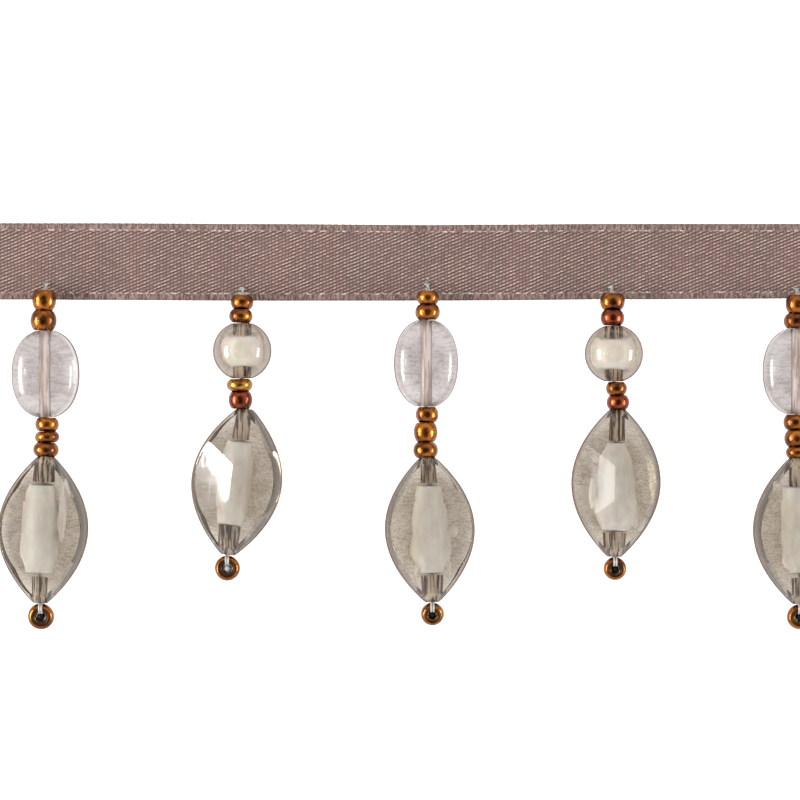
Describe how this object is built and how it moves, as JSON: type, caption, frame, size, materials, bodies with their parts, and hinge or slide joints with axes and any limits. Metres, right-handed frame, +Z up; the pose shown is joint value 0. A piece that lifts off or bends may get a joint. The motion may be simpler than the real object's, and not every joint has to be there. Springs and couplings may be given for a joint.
{
  "type": "beaded trim",
  "caption": "Narrow woven ribbon with long and short drops of smoky acrylic beads and copper seed beads, lying face up.",
  "frame": {"origin": "middle of the ribbon's back, on the surface that the trim lies on, in line with the middle drop", "axes": "+X along the ribbon, -Y the way the drops lie, +Z up off the surface, towards the trim's face"},
  "size_m": [0.125, 0.0543, 0.0077],
  "materials": {
    "ribbon_weave": "taupe satin weave, soft sheen",
    "clear_thread": "clear nylon thread",
    "white_core": "opaque off-white acrylic",
    "smoky_acrylic": "clear smoky grey-beige acrylic, faceted and glossy",
    "clear_acrylic": "nearly colourless clear acrylic, glossy",
    "copper_seed": "glass with a metallic copper coat",
    "red_copper_seed": "glass with a metallic red copper coat",
    "gold_seed": "glass with a metallic gold coat"
  },
  "bodies": {
    "root": {"ribbon": "ribbon_weave", "drop1_seed1": "copper_seed", "drop1_seed2": "copper_seed", "drop1_oval": "clear_acrylic", "drop1_seed3": "copper_seed", "drop1_seed4": "copper_seed", "drop1_seed5": "copper_seed", "drop1_large": "smoky_acrylic", "drop1_large_core": "white_core", "drop1_stop": "copper_seed", "drop1_thread": "clear_thread", "drop2_seed1": "copper_seed", "drop2_seed2": "copper_seed", "drop2_round": "smoky_acrylic", "drop2_round_core": "white_core", "drop2_seed3": "gold_seed", "drop2_seed4": "red_copper_seed", "drop2_large": "smoky_acrylic", "drop2_large_core": "white_core", "drop2_stop": "copper_seed", "drop2_thread": "clear_thread", "drop3_seed1": "copper_seed", "drop3_seed2": "copper_seed", "drop3_oval": "clear_acrylic", "drop3_seed3": "copper_seed", "drop3_seed4": "copper_seed", "drop3_seed5": "copper_seed", "drop3_large": "smoky_acrylic", "drop3_large_core": "white_core", "drop3_stop": "copper_seed", "drop3_thread": "clear_thread", "drop4_seed1": "copper_seed", "drop4_seed2": "red_copper_seed", "drop4_round": "smoky_acrylic", "drop4_round_core": "white_core", "drop4_seed3": "copper_seed", "drop4_seed4": "red_copper_seed", "drop4_large": "smoky_acrylic", "drop4_large_core": "white_core", "drop4_stop": "copper_seed", "drop4_thread": "clear_thread", "drop5_seed1": "copper_seed", "drop5_seed2": "copper_seed", "drop5_oval": "clear_acrylic", "drop5_seed3": "copper_seed", "drop5_seed4": "copper_seed", "drop5_seed5": "copper_seed", "drop5_large": "smoky_acrylic", "drop5_large_core": "white_core", "drop5_stop": "copper_seed", "drop5_thread": "clear_thread"}
  },
  "joints": []
}
